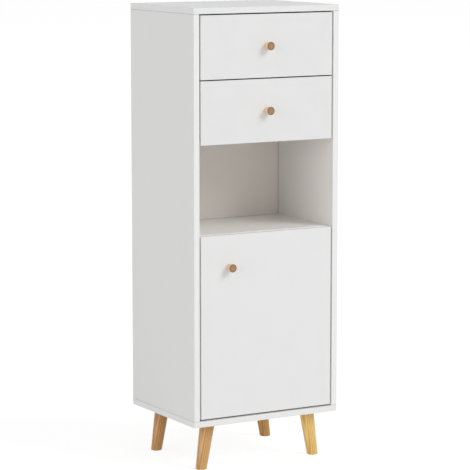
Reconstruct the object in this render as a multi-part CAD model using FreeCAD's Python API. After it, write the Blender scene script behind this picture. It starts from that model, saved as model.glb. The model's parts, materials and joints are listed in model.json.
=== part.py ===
import FreeCAD
import Part
import math
import os

V = FreeCAD.Vector
X_AXIS = V(1, 0, 0)
Y_AXIS = V(0, 1, 0)
Z_AXIS = V(0, 0, 1)
LEFT, RIGHT = -1, 1

# Driving dimensions, in millimetres

# Carcass
width = 400.0
depth = 320.0
panel = 15.0
edge_round = 0.6
niche_height = 215.0
niche_depth = 256.0
door_height = 441.0
drawer_front_height = 151.0
front_gap = 4.0
drawer_gap = 3.0
niche_floor_reveal = 2.0
shelf_setback = 1.5

# Back board in its groove
back_board = 3.0
back_inset = 10.0
groove_depth = 5.0
groove_play = 0.2
shelf_rear_play = 0.4

# Loose shelf behind the door
loose_shelf_setback = 25.0
loose_shelf_side_play = 1.0
pin_radius = 2.5
pin_depth = 8.0
pin_lug_width = 8.0
pin_lug_length = 9.0
pin_lug_height = 6.0
pin_end_distance = 45.0
pin_row_pitch = 50.0
pin_rows = 3

# Cam fittings and dowels of the flat-pack joints
cam_radius = 7.5
cam_floor = 3.0
cam_distance = 24.0
cam_slot_width = 1.6
cam_slot_depth = 2.0
cam_front_inset = 60.0
cam_rear_inset = 50.0
bolt_thread_radius = 3.0
bolt_thread_length = 10.0
bolt_stem_radius = 2.5
bolt_head_radius = 3.2
bolt_head_length = 3.5
dowel_radius = 4.0
dowel_in_face = 10.0
dowel_in_edge = 20.0
niche_dowel_inset = 75.0
niche_back_seat = 1.5
fit = 0.1
hole_play = 0.5

# Legs, turned to a taper and splayed to the sides
leg_height = 113.0
leg_top_radius = 18.0
leg_foot_radius = 13.5
leg_inset_x = 60.0
leg_inset_y = 45.0
leg_splay_x = 18.0
leg_splay_y = 0.5
leg_foot_round = 1.5
leg_bolt_radius = 4.0
leg_bolt_in_leg = 35.0
leg_insert_radius = 6.0
leg_insert_length = 12.0

# Turned knobs
knob_base_radius = 8.5
knob_end_radius = 9.75
knob_length = 18.0
knob_end_round = 1.2
knob_dish = 0.6
door_knob_edge_distance = 77.0
door_knob_top_distance = 78.0
knob_screw_radius = 2.0
knob_screw_grip = 9.0
screw_head_radius = 3.5
screw_head_height = 2.0

# Drawer boxes
drawer_side = 12.0
drawer_side_height = 105.0
drawer_rise = 27.0
drawer_rear_space = 37.0
drawer_bottom = 3.0
drawer_bottom_rise = 8.0
drawer_groove_depth = 5.0
drawer_cam_low = 40.0
drawer_cam_high = 85.0
back_screw_low = 35.0
back_screw_high = 85.0
back_screw_radius = 2.0
back_screw_grip = 24.0

# Roller runners
runner_gap = 12.5
runner_steel = 1.0
runner_height = 22.0
runner_flange = 10.0
runner_lip = 10.0
runner_end_space = 10.0
runner_lift = 0.7
roller_radius = 9.4
roller_end_distance = 12.0
roller_gap = 0.3
roller_fit = 0.05
roller_tread_round = 0.8
axle_radius = 2.5
rivet_radius = 4.0
rivet_height = 1.0
runner_screw_inset = 65.0
runner_screw_radius = 1.6
runner_screw_grip = 10.0
lip_screw_grip = 6.0
runner_screw_head_radius = 3.0
runner_screw_head = 0.6

# Concealed hinges
hinge_axis_inset = 3.0
hinge_axis_setback = 2.0
hinge_end_distance = 90.0
cup_radius = 17.5
cup_depth = 11.5
cup_wall = 1.0
cup_edge_distance = 22.0
cup_flange = 1.2
cup_flange_rim = 2.0
cup_screw_pitch = 45.0
cup_screw_offset = 9.5
cup_ear_radius = 7.0
cup_screw_radius = 1.8
cup_screw_grip = 9.0
nose_clearance = 1.4
arm_half_height = 6.0
arm_steel = 1.5
arm_depth = 13.0
arm_reach = 78.0
arm_rivet_radius = 1.5
arm_rivet_inset = 4.0
arm_rivet_head = 0.4
link_steel = 3.0
link_side_play = 1.0
link_tail_play = 0.8
plate_height = 9.5
plate_length = 38.0
plate_end_distance = 6.0
plate_wing = 2.0
plate_wing_width = 16.0
plate_wing_span = 48.0
plate_screw_pitch = 32.0
plate_screw_setback = 37.0
plate_screw_radius = 2.5
plate_screw_grip = 10.0
arm_screw_setback = 14.0
arm_screw_grip = 6.0
bumper_radius = 4.0
bumper_gap = 0.3
bumper_end_distance = 30.0

# Levels worked out from the driving dimensions
z_bottom_in = leg_height + panel
z_door_low = z_bottom_in + front_gap
z_door_top = z_door_low + door_height
z_niche_floor = z_door_top + niche_floor_reveal
z_niche_ceiling = z_niche_floor + niche_height
z_niche_seat = z_niche_floor - niche_back_seat
z_lower_front = z_niche_ceiling
z_upper_front = z_lower_front + drawer_front_height + drawer_gap
z_top_in = z_upper_front + drawer_front_height + drawer_gap
height = z_top_in + panel
z_loose_shelf = (z_bottom_in + z_niche_floor - panel) / 2

x_in = width / 2 - panel
x_fronts = x_in - front_gap
x_box = x_in - runner_gap
x_box_in = x_box - drawer_side

y_front = (knob_length - depth) / 2
y_fronts_in = y_front + panel
y_back = y_front + depth
y_board_rear = y_back - back_inset
y_board = y_board_rear - back_board
y_shelf_front = y_fronts_in + shelf_setback
y_shelf_rear = y_board - shelf_rear_play
y_box_rear = y_board - drawer_rear_space
y_runner_rear = y_box_rear - runner_end_space
y_cams = (y_front + cam_front_inset, y_board - cam_rear_inset)
y_dowel = sum(y_cams) / len(y_cams)
y_niche_back = y_front + niche_depth
y_pins = (y_shelf_front + loose_shelf_setback + pin_end_distance, y_shelf_rear - pin_end_distance)

hinge_x = x_fronts - hinge_axis_inset
hinge_y = y_front + hinge_axis_setback
z_hinges = (z_door_low + hinge_end_distance, z_door_top - hinge_end_distance)


# Basic forms

def block(x0, x1, y0, y1, z0, z1):
    """Box between two corners."""
    return Part.makeBox(x1 - x0, y1 - y0, z1 - z0, V(x0, y0, z0))


def board(x0, x1, y0, y1, z0, z1):
    """Edge-banded board: a box with all its arrises softened."""
    box = block(x0, x1, y0, y1, z0, z1)
    return box.makeFillet(edge_round, box.Edges)


def rod(radius, start, along, length):
    """Round bar from a point along a direction."""
    return Part.makeCylinder(radius, length, start, along)


def turned(points, start, along):
    """Solid of revolution: points are (radius, distance) pairs, turned about a line from start."""
    outline = [V(radius, 0, distance) for radius, distance in points]
    wire = Part.makePolygon(outline + outline[:1])
    solid = Part.Face(wire).revolve(V(0, 0, 0), Z_AXIS, 360)
    solid.Placement = FreeCAD.Placement(start, FreeCAD.Rotation(Z_AXIS, along))
    return solid


def screw(start, along, shank_radius, shank_length, head_radius, head_height):
    """Screw whose head rests on start and whose shank runs on along the direction."""
    points = [
        (0, -head_height),
        (head_radius, -head_height),
        (head_radius, 0),
        (shank_radius, 0),
        (shank_radius, shank_length),
        (0, shank_length),
    ]
    return turned(points, start, along)


def screw_hole(start, along, shank_radius, shank_length):
    """Pilot hole that a screw from start fills, with play at its bottom."""
    return rod(shank_radius + fit, start, along, shank_length + hole_play)


def mirrored(solid):
    """The same piece for the other side of the cabinet."""
    return solid.mirror(V(0, 0, 0), X_AXIS)


# Cam fitting: a bolt screwed into one board's face, drawn up by a lock let into the other board

def cam_lock(joint, along, facing, thickness):
    """Lock whose axis stands square to the board, with the bolt's way in and a driver slot."""
    centre = joint + along * cam_distance
    face = centre + facing * (thickness / 2)
    lock = rod(cam_radius, face, facing * -1, thickness - cam_floor)
    way_in = rod(bolt_head_radius + hole_play, joint, along, cam_distance + bolt_head_length)
    slot = block(-cam_radius, cam_radius, -cam_slot_width / 2, cam_slot_width / 2, -cam_slot_depth, 0)
    slot.Placement = FreeCAD.Placement(face, FreeCAD.Rotation(Z_AXIS, facing))
    return lock.cut([way_in, slot])


def cam_bolt(joint, along):
    """Bolt with its thread behind the joint and its head in the middle of the lock."""
    head_start = cam_distance - bolt_head_length / 2
    points = [
        (0, -bolt_thread_length),
        (bolt_thread_radius, -bolt_thread_length),
        (bolt_thread_radius, 0),
        (bolt_stem_radius, 0),
        (bolt_stem_radius, head_start),
        (bolt_head_radius, head_start),
        (bolt_head_radius, head_start + bolt_head_length),
        (0, head_start + bolt_head_length),
    ]
    return turned(points, joint, along)


def cam_bores(joint, along, facing, thickness):
    """Bores in the board that holds the lock."""
    centre = joint + along * cam_distance
    face = centre + facing * (thickness / 2)
    pocket = rod(cam_radius + fit, face, facing * -1, thickness - cam_floor)
    way_in = rod(bolt_head_radius + hole_play, joint, along, cam_distance + bolt_head_length)
    return [pocket, way_in]


def bolt_bore(joint, along):
    """Bore for the thread in the face of the other board."""
    return rod(bolt_thread_radius + fit, joint, along * -1, bolt_thread_length + hole_play)


def dowel(joint, along):
    return rod(dowel_radius, joint - along * dowel_in_face, along, dowel_in_face + dowel_in_edge)


def dowel_bores(joint, along):
    """Bore in the face board, then bore in the edge board."""
    in_face = rod(dowel_radius + fit, joint, along * -1, dowel_in_face + hole_play)
    in_edge = rod(dowel_radius + fit, joint, along, dowel_in_edge + hole_play)
    return in_face, in_edge


def carcass_joints(level, along, facing, x_joint):
    """Points and directions of one end's two cam fittings and its dowel."""
    cams = [(V(x_joint, y, level), along, facing) for y in y_cams]
    return cams, (V(x_joint, y_dowel, level), along)


def end_joints(side):
    """The four corner and shelf joints on one side of the carcass, by the board that they hold."""
    x_mid = side * (x_in + panel / 2)
    inward = V(-side, 0, 0)
    return {
        "top": carcass_joints(z_top_in, Z_AXIS * -1, inward, x_mid),
        "bottom": carcass_joints(z_bottom_in, Z_AXIS, inward, x_mid),
        "ceiling": carcass_joints(z_niche_ceiling + panel / 2, inward, Z_AXIS, side * x_in),
        "floor": carcass_joints(z_niche_floor - panel / 2, inward, Z_AXIS * -1, side * x_in),
    }


def face_bores(name):
    """Bores in the board whose face takes the bolts and dowels of a joint, for both sides."""
    bores = []
    for side in (LEFT, RIGHT):
        cams, peg = end_joints(side)[name]
        bores += [bolt_bore(joint, along) for joint, along, facing in cams]
        bores.append(dowel_bores(*peg)[0])
    return bores


def edge_bores(name):
    """Bores in the board whose end takes the locks and dowels of a joint, for both sides."""
    bores = []
    for side in (LEFT, RIGHT):
        cams, peg = end_joints(side)[name]
        for joint, along, facing in cams:
            bores += cam_bores(joint, along, facing, panel)
        bores.append(dowel_bores(*peg)[1])
    return bores


# Carcass boards

def back_groove():
    """Room for the back board in the four boards around it."""
    return block(
        -x_in - groove_depth,
        x_in + groove_depth,
        y_board - groove_play,
        y_board_rear + groove_play,
        z_bottom_in - groove_depth,
        z_top_in + groove_depth,
    )


def top_panel():
    solid = board(-width / 2, width / 2, y_front, y_back, z_top_in, height)
    return solid.cut([back_groove()] + face_bores("top"))


def bottom_panel():
    solid = board(-width / 2, width / 2, y_front, y_back, leg_height, z_bottom_in)
    inserts = [leg_insert_bore(corner) for corner in leg_corners()]
    return solid.cut([back_groove()] + face_bores("bottom") + inserts)


def pin_holes(side):
    """Two columns of holes for the shelf pins."""
    holes = []
    for row in range(pin_rows):
        level = z_loose_shelf - pin_lug_height / 2 + (row - (pin_rows - 1) / 2) * pin_row_pitch
        for y in y_pins:
            holes.append(rod(pin_radius + fit, V(side * x_in, y, level), V(side, 0, 0), pin_depth + hole_play))
    return holes


def side_panel(side):
    x_edges = sorted((side * x_in, side * width / 2))
    solid = board(*x_edges, y_front, y_back, z_bottom_in, z_top_in)
    bores = [back_groove()] + pin_holes(side)
    for name in ("top", "bottom"):
        bores += edge_bores(name)
    for name in ("ceiling", "floor"):
        bores += face_bores(name)
    for front_level in (z_upper_front, z_lower_front):
        bores += [cabinet_screw_hole(side, y, front_level) for y in runner_screw_places()]
    if side == RIGHT:
        bores += plate_screw_holes()
    return solid.cut(bores)


def back_panel():
    x_edge = x_in + groove_depth - groove_play
    z_low = z_bottom_in - groove_depth
    z_high = z_top_in + groove_depth - groove_play
    return block(-x_edge, x_edge, y_board, y_board_rear, z_low, z_high)


def niche_back_dowels(level, along):
    """Points and directions of the two dowels that stand the niche's back on one shelf."""
    x_dowel = x_in - niche_dowel_inset
    return [(V(x, y_niche_back + panel / 2, level), along) for x in (-x_dowel, x_dowel)]


def niche_dowels():
    """All four dowels of the niche's back, on its floor and under its ceiling."""
    return niche_back_dowels(z_niche_seat, Z_AXIS) + niche_back_dowels(z_niche_ceiling, Z_AXIS * -1)


def niche_ceiling_shelf():
    solid = board(-x_in, x_in, y_shelf_front, y_shelf_rear, z_niche_ceiling, z_niche_ceiling + panel)
    pegs = niche_back_dowels(z_niche_ceiling, Z_AXIS * -1)
    return solid.cut(edge_bores("ceiling") + [dowel_bores(*peg)[0] for peg in pegs])


def niche_floor_shelf():
    solid = board(-x_in, x_in, y_shelf_front, y_shelf_rear, z_niche_floor - panel, z_niche_floor)
    pegs = niche_back_dowels(z_niche_seat, Z_AXIS)
    y_seat = (y_niche_back - fit, y_niche_back + panel + fit)
    seat = block(-x_in, x_in, *y_seat, z_niche_seat, z_niche_floor)
    return solid.cut(edge_bores("floor") + [dowel_bores(*peg)[0] for peg in pegs] + [seat])


def niche_back_panel():
    """Finished back of the open niche, let into its floor and reaching its ceiling."""
    solid = board(-x_in, x_in, y_niche_back, y_niche_back + panel, z_niche_seat, z_niche_ceiling)
    return solid.cut([dowel_bores(*peg)[1] for peg in niche_dowels()])


def loose_shelf():
    x_edge = x_in - loose_shelf_side_play
    y_low = y_shelf_front + loose_shelf_setback
    return board(-x_edge, x_edge, y_low, y_shelf_rear, z_loose_shelf, z_loose_shelf + panel)


def shelf_pin(side, y):
    """Peg in the side panel with a flat lug that the shelf lies on."""
    middle = z_loose_shelf - pin_lug_height / 2
    peg = rod(pin_radius, V(side * x_in, y, middle), V(side, 0, 0), pin_depth)
    x_edges = sorted((side * x_in, side * (x_in - pin_lug_length)))
    y_edges = (y - pin_lug_width / 2, y + pin_lug_width / 2)
    lug = block(*x_edges, *y_edges, z_loose_shelf - pin_lug_height, z_loose_shelf)
    return lug.fuse(peg)


def carcass_fittings():
    """Cam locks, cam bolts and dowels of all the carcass joints."""
    locks = []
    bolts = []
    dowels = []
    for side in (LEFT, RIGHT):
        for cams, peg in end_joints(side).values():
            locks += [cam_lock(joint, along, facing, panel) for joint, along, facing in cams]
            bolts += [cam_bolt(joint, along) for joint, along, facing in cams]
            dowels.append(dowel(*peg))
    dowels += [dowel(*peg) for peg in niche_dowels()]
    return locks, bolts, dowels


# Legs

def leg_corners():
    """Side and end signs of the four legs, front left first."""
    return [(side, end) for end in (-1, 1) for side in (LEFT, RIGHT)]


def leg_top(corner):
    side, end = corner
    y_middle = (y_front + y_back) / 2
    return V(side * (width / 2 - leg_inset_x), y_middle + end * (depth / 2 - leg_inset_y), leg_height)


def leg(corner):
    """Turned taper about the splayed axis, cut level at the panel and at the floor."""
    side, end = corner
    top = leg_top(corner)
    foot = top + V(side * leg_splay_x, end * leg_splay_y, -leg_height)
    axis = foot - top
    taper = leg_top_radius - leg_foot_radius
    cone = Part.makeCone(
        leg_top_radius + taper,
        leg_foot_radius - taper,
        3 * axis.Length,
        top - axis,
        axis,
    )
    reach = leg_splay_x + leg_splay_y + 2 * leg_top_radius
    slice_between = block(top.x - reach, top.x + reach, top.y - reach, top.y + reach, 0, leg_height)
    solid = cone.common(slice_between)
    sole = [edge for edge in solid.Edges if edge.BoundBox.ZMax < leg_foot_round]
    solid = solid.makeFillet(leg_foot_round, sole)
    bore = rod(leg_bolt_radius + fit, top, Z_AXIS * -1, leg_bolt_in_leg + hole_play)
    return solid.cut(bore)


def leg_bolt(corner):
    start = leg_top(corner) - Z_AXIS * leg_bolt_in_leg
    return rod(leg_bolt_radius, start, Z_AXIS, leg_bolt_in_leg + leg_insert_length)


def leg_insert(corner):
    sleeve = rod(leg_insert_radius, leg_top(corner), Z_AXIS, leg_insert_length)
    return sleeve.cut(rod(leg_bolt_radius + fit, leg_top(corner), Z_AXIS, leg_insert_length))


def leg_insert_bore(corner):
    return rod(leg_insert_radius + fit, leg_top(corner), Z_AXIS, leg_insert_length + hole_play)


# Fronts and knobs

def knob(x, z):
    """Flared knob with a rounded rim and a slightly dished end, bored for its screw."""
    rim = knob_end_radius - knob_end_round
    dish_radius = (rim ** 2 + knob_dish ** 2) / (2 * knob_dish)
    half_turn = math.asin(rim / dish_radius) / 2
    dish_end = V(0, 0, knob_length - knob_dish)
    dish_centre = dish_end + Z_AXIS * dish_radius
    dish_middle = dish_centre + V(math.sin(half_turn), 0, -math.cos(half_turn)) * dish_radius
    side_start = V(knob_base_radius, 0, 0)
    side_end = V(knob_end_radius, 0, knob_length - knob_end_round)
    rim_end = V(rim, 0, knob_length)
    diagonal = knob_end_round * math.sqrt(0.5)
    rim_middle = V(rim + diagonal, 0, knob_length - knob_end_round + diagonal)
    edges = [
        Part.makeLine(V(0, 0, 0), side_start),
        Part.makeLine(side_start, side_end),
        Part.Arc(side_end, rim_middle, rim_end).toShape(),
        Part.Arc(rim_end, dish_middle, dish_end).toShape(),
        Part.makeLine(dish_end, V(0, 0, 0)),
    ]
    solid = Part.Face(Part.Wire(edges)).revolve(V(0, 0, 0), Z_AXIS, 360)
    solid.Placement = FreeCAD.Placement(V(x, y_front, z), FreeCAD.Rotation(Z_AXIS, Y_AXIS * -1))
    return solid.cut(rod(knob_screw_radius + fit, V(x, y_front, z), Y_AXIS * -1, knob_screw_grip + hole_play))


def knob_screw(x, z):
    start = V(x, y_fronts_in, z)
    return screw(
        start, Y_AXIS * -1, knob_screw_radius, panel + knob_screw_grip, screw_head_radius, screw_head_height
    )


def knob_screw_hole(x, z):
    return rod(knob_screw_radius + fit, V(x, y_front, z), Y_AXIS, panel)


def front_board(z_low, front_height):
    return board(-x_fronts, x_fronts, y_front, y_fronts_in, z_low, z_low + front_height)


# Drawers, each worked out from the lower edge of its front

def drawer_cams(side, front_level):
    """Fittings that draw one drawer side up to the back of the front."""
    x_mid = side * (x_box - drawer_side / 2)
    low = front_level + drawer_rise
    levels = (low + drawer_cam_low, low + drawer_cam_high)
    return [(V(x_mid, y_fronts_in, level), Y_AXIS, V(side, 0, 0)) for level in levels]


def drawer_bottom_groove(front_level):
    """Room for the bottom board in the front and in both sides."""
    x_edge = x_box_in + drawer_groove_depth
    low = front_level + drawer_rise + drawer_bottom_rise
    y_low = y_fronts_in - drawer_groove_depth
    return block(-x_edge, x_edge, y_low, y_box_rear, low - groove_play, low + drawer_bottom + groove_play)


def drawer_front(front_level):
    solid = front_board(front_level, drawer_front_height)
    bores = [knob_screw_hole(0, front_level + drawer_front_height / 2), drawer_bottom_groove(front_level)]
    for side in (LEFT, RIGHT):
        bores += [bolt_bore(joint, along) for joint, along, facing in drawer_cams(side, front_level)]
    return solid.cut(bores)


def back_screw_starts(side, front_level):
    """Where the screws through one drawer side into the drawer back have the undersides of their heads."""
    low = front_level + drawer_rise
    y = y_box_rear - drawer_side / 2
    x = side * (x_box - screw_head_height)
    return [V(x, y, low + back_screw_low), V(x, y, low + back_screw_high)]


def back_screw_length():
    return drawer_side - screw_head_height + back_screw_grip


def back_screw_bores(side, front_level):
    """Shank holes and head recesses of the screws through one drawer side."""
    bores = []
    outward = V(side, 0, 0)
    for start in back_screw_starts(side, front_level):
        bores.append(screw_hole(start, outward * -1, back_screw_radius, back_screw_length()))
        bores.append(rod(screw_head_radius + fit, start, outward, screw_head_height))
    return bores


def drawer_side_panel(side, front_level):
    x_edges = sorted((side * x_box_in, side * x_box))
    low = front_level + drawer_rise
    solid = block(*x_edges, y_fronts_in, y_box_rear, low, low + drawer_side_height)
    bores = [drawer_bottom_groove(front_level)] + back_screw_bores(side, front_level)
    for joint, along, facing in drawer_cams(side, front_level):
        bores += cam_bores(joint, along, facing, drawer_side)
    bores += [drawer_runner_screw_hole(side, y, front_level) for y in runner_screw_places()]
    return solid.cut(bores)


def drawer_back(front_level):
    """Board between the sides that stands on the bottom board."""
    low = front_level + drawer_rise
    floor = low + drawer_bottom_rise + drawer_bottom
    y_inner = y_box_rear - drawer_side
    solid = block(-x_box_in, x_box_in, y_inner, y_box_rear, floor, low + drawer_side_height)
    bores = []
    for side in (LEFT, RIGHT):
        bores += back_screw_bores(side, front_level)
    return solid.cut(bores)


def drawer_bottom_board(front_level):
    x_edge = x_box_in + drawer_groove_depth - groove_play
    low = front_level + drawer_rise + drawer_bottom_rise
    y_low = y_fronts_in - drawer_groove_depth + groove_play
    return block(-x_edge, x_edge, y_low, y_box_rear, low, low + drawer_bottom)


def drawer_fittings(front_level):
    """Cam locks, cam bolts and back screws of one drawer."""
    locks = []
    bolts = []
    screws = []
    for side in (LEFT, RIGHT):
        cams = drawer_cams(side, front_level)
        locks += [cam_lock(joint, along, facing, drawer_side) for joint, along, facing in cams]
        bolts += [cam_bolt(joint, along) for joint, along, facing in cams]
        for start in back_screw_starts(side, front_level):
            length = back_screw_length()
            inward = V(-side, 0, 0)
            screws.append(screw(start, inward, back_screw_radius, length, screw_head_radius, screw_head_height))
    return locks, bolts, screws


# Roller runners: a channel with a front roller on the cabinet, a flanged rail with a rear roller on the drawer

def runner_low(front_level):
    """Underside of both runner members."""
    return front_level + drawer_rise - runner_steel


def runner_screw_places():
    return (y_fronts_in + runner_screw_inset, y_runner_rear - runner_screw_inset)


def front_roller_centre(front_level):
    top = runner_low(front_level) + runner_height + runner_lift - roller_gap
    return V(x_in, y_fronts_in + roller_end_distance, top - roller_radius)


def rear_roller_centre(front_level):
    track = runner_low(front_level) + runner_steel + roller_gap
    return V(x_in, y_runner_rear - roller_end_distance, track + roller_radius)


def axle(centre, x_root, x_head):
    """Riveted axle from a runner's web to its head."""
    along = X_AXIS if x_head > x_root else X_AXIS * -1
    length = abs(x_head - x_root)
    points = [
        (0, 0),
        (axle_radius, 0),
        (axle_radius, length - rivet_height),
        (rivet_radius, length - rivet_height),
        (rivet_radius, length),
        (0, length),
    ]
    return turned(points, V(x_root, centre.y, centre.z), along)


def roller(centre, x0, x1):
    """Nylon roller with softened treads and a running bore."""
    length = x1 - x0
    bore = axle_radius + roller_fit
    points = [
        (bore, 0),
        (roller_radius - roller_tread_round, 0),
        (roller_radius, roller_tread_round),
        (roller_radius, length - roller_tread_round),
        (roller_radius - roller_tread_round, length),
        (bore, length),
    ]
    return turned(points, V(x0, centre.y, centre.z), X_AXIS)


def cabinet_axle_head():
    """How far the cabinet axle's head stands from the side panel."""
    return runner_flange + rivet_height - roller_gap


def drawer_axle_head():
    """How far the drawer axle's head stays from the side panel."""
    return runner_steel + rivet_height


def cabinet_runner(front_level):
    """Right-hand channel: web on the side panel, running track below, keeper flange above."""
    low = runner_low(front_level)
    high = low + runner_height
    web = block(x_in - runner_steel, x_in, y_fronts_in, y_runner_rear, low, high)
    track = block(x_in - runner_flange, x_in, y_fronts_in, y_runner_rear, low, low + runner_steel)
    keeper_start = front_roller_centre(front_level).y + roller_radius + roller_gap
    keeper = block(x_in - runner_flange, x_in, keeper_start, y_runner_rear, high - runner_steel, high)
    centre = front_roller_centre(front_level)
    solid = web.fuse([track, keeper, axle(centre, x_in - runner_steel, x_in - cabinet_axle_head())])
    bores = [cabinet_screw_hole(RIGHT, y, front_level) for y in runner_screw_places()]
    return solid.removeSplitter().cut(bores)


def drawer_runner(front_level):
    """Right-hand rail: lip under the drawer side, web beside it, flange that rides on the front roller."""
    low = runner_low(front_level)
    flange_low = low + runner_height + runner_lift
    x_web = x_box + runner_steel
    web = block(x_box, x_web, y_fronts_in, y_runner_rear, low, flange_low + runner_steel)
    lip = block(x_box - runner_lip, x_web, y_fronts_in, y_runner_rear, low, low + runner_steel)
    x_flange = x_in - drawer_axle_head()
    flange = block(x_box, x_flange, y_fronts_in, y_runner_rear, flange_low, flange_low + runner_steel)
    centre = rear_roller_centre(front_level)
    solid = web.fuse([lip, flange, axle(centre, x_web, x_in - drawer_axle_head())])
    bores = [drawer_runner_screw_hole(RIGHT, y, front_level) for y in runner_screw_places()]
    return solid.removeSplitter().cut(bores)


def front_roller(front_level):
    x0 = x_in - cabinet_axle_head() + rivet_height + roller_gap
    return roller(front_roller_centre(front_level), x0, x_in - runner_steel - roller_gap)


def rear_roller(front_level):
    x1 = x_in - drawer_axle_head() - rivet_height - roller_gap
    return roller(rear_roller_centre(front_level), x_box + runner_steel + roller_gap, x1)


def cabinet_screw_start(side, y, front_level):
    return V(side * (x_in - runner_steel), y, runner_low(front_level) + runner_height / 2)


def cabinet_screw(side, y, front_level):
    start = cabinet_screw_start(side, y, front_level)
    length = runner_steel + runner_screw_grip
    outward = V(side, 0, 0)
    return screw(start, outward, runner_screw_radius, length, runner_screw_head_radius, runner_screw_head)


def cabinet_screws():
    """Screws of both drawers' channels."""
    screws = []
    for front_level in (z_upper_front, z_lower_front):
        for side in (LEFT, RIGHT):
            screws += [cabinet_screw(side, y, front_level) for y in runner_screw_places()]
    return screws


def cabinet_screw_hole(side, y, front_level):
    start = cabinet_screw_start(side, y, front_level)
    return screw_hole(start, V(side, 0, 0), runner_screw_radius, runner_steel + runner_screw_grip)


def drawer_runner_screw(side, y, front_level):
    """Screw up through the lip into the drawer side."""
    start = V(side * (x_box - drawer_side / 2), y, runner_low(front_level))
    length = runner_steel + lip_screw_grip
    return screw(start, Z_AXIS, runner_screw_radius, length, runner_screw_head_radius, runner_screw_head)


def drawer_runner_screw_hole(side, y, front_level):
    start = V(side * (x_box - drawer_side / 2), y, runner_low(front_level))
    return screw_hole(start, Z_AXIS, runner_screw_radius, runner_steel + lip_screw_grip)


def both_sides(solid):
    return [mirrored(solid), solid]


# Concealed hinges, drawn from the door's turning axis: x to the side panel, y into the cabinet

mouth = panel - hinge_axis_setback + cup_flange
cup_floor = panel - hinge_axis_setback - cup_depth + cup_wall
cup_offset = cup_edge_distance - hinge_axis_inset
side_face = front_gap + hinge_axis_inset
cup_bore_radius = cup_radius - cup_wall
nose_inner = math.hypot(mouth, cup_offset - cup_bore_radius) + nose_clearance
nose_outer = cup_offset + math.sqrt(cup_bore_radius ** 2 - arm_half_height ** 2) - nose_clearance
nose_floor = cup_floor + nose_clearance
plate_top = side_face - plate_height
arm_back = plate_top - arm_depth
link_radius = (nose_inner + nose_outer) / 2


def from_axis(solid, z):
    """Moves a hinge piece from the turning axis to its place on the cabinet."""
    solid.translate(V(hinge_x, hinge_y, z))
    return solid


def on_circle(radius, x=None, y=None):
    """Point of a circle about the turning axis, on the door's side, at a given x or y."""
    if y is None:
        return V(x, math.sqrt(radius ** 2 - x ** 2), 0)
    return V(-math.sqrt(radius ** 2 - y ** 2), y, 0)


def bow(start, end):
    """Arc about the turning axis between two points of one circle."""
    middle = (start + end).normalize() * start.Length
    return Part.Arc(start, middle, end).toShape()


def hinge_cup(z):
    """Pressed cup with a flange and two screw ears, open towards the cabinet."""
    back = panel - hinge_axis_setback
    centre = V(-cup_offset, back, 0)
    cup = rod(cup_radius, centre, Y_AXIS * -1, cup_depth)
    flange = rod(cup_radius + cup_flange_rim, centre, Y_AXIS, cup_flange)
    ears = [rod(cup_ear_radius, point, Y_AXIS, cup_flange) for point in cup_screw_points()]
    x_ear = -cup_offset - cup_screw_offset
    half = cup_screw_pitch / 2
    bridge = block(x_ear - cup_ear_radius, x_ear + cup_ear_radius, back, back + cup_flange, -half, half)
    hollow = rod(cup_bore_radius, centre + Y_AXIS * cup_flange, Y_AXIS * -1, cup_depth + cup_flange - cup_wall)
    bores = [rod(cup_screw_radius + fit, point, Y_AXIS, cup_flange) for point in cup_screw_points()]
    solid = cup.fuse([flange, bridge] + ears).removeSplitter().cut([hollow] + bores)
    return from_axis(solid, z)


def cup_screw_points():
    """Screw places on the door's back, above and below the cup."""
    x = -cup_offset - cup_screw_offset
    back = panel - hinge_axis_setback
    return [V(x, back, end * cup_screw_pitch / 2) for end in (-1, 1)]


def cup_screws(z):
    screws = []
    for point in cup_screw_points():
        start = point + Y_AXIS * cup_flange
        length = cup_flange + cup_screw_grip
        piece = screw(start, Y_AXIS * -1, cup_screw_radius, length, screw_head_radius, cup_flange)
        screws.append(from_axis(piece, z))
    return screws


def cup_bores(z):
    """Cup bore and pilot holes in the door's back."""
    centre = V(-cup_offset, panel - hinge_axis_setback, 0)
    bores = [rod(cup_radius + fit, centre, Y_AXIS * -1, cup_depth + fit)]
    for point in cup_screw_points():
        bores.append(screw_hole(point, Y_AXIS * -1, cup_screw_radius, cup_screw_grip))
    return [from_axis(bore, z) for bore in bores]


def hinge_link(z):
    """Curved link that turns with the door inside the arm, its foot on the cup's floor."""
    inner = link_radius - link_steel / 2
    outer = link_radius + link_steel / 2
    tail = math.acos((side_face - link_tail_play) / outer)
    tail_inner = V(inner * math.cos(tail), inner * math.sin(tail), 0)
    tail_outer = V(outer * math.cos(tail), outer * math.sin(tail), 0)
    foot_inner = on_circle(inner, y=cup_floor)
    foot_outer = on_circle(outer, y=cup_floor)
    edges = [
        bow(tail_outer, foot_outer),
        Part.makeLine(foot_outer, foot_inner),
        bow(foot_inner, tail_inner),
        Part.makeLine(tail_inner, tail_outer),
    ]
    half = arm_half_height - arm_steel - link_side_play
    solid = Part.Face(Part.Wire(edges)).extrude(V(0, 0, 2 * half))
    solid.translate(V(0, 0, -half))
    return from_axis(solid, z)


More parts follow.
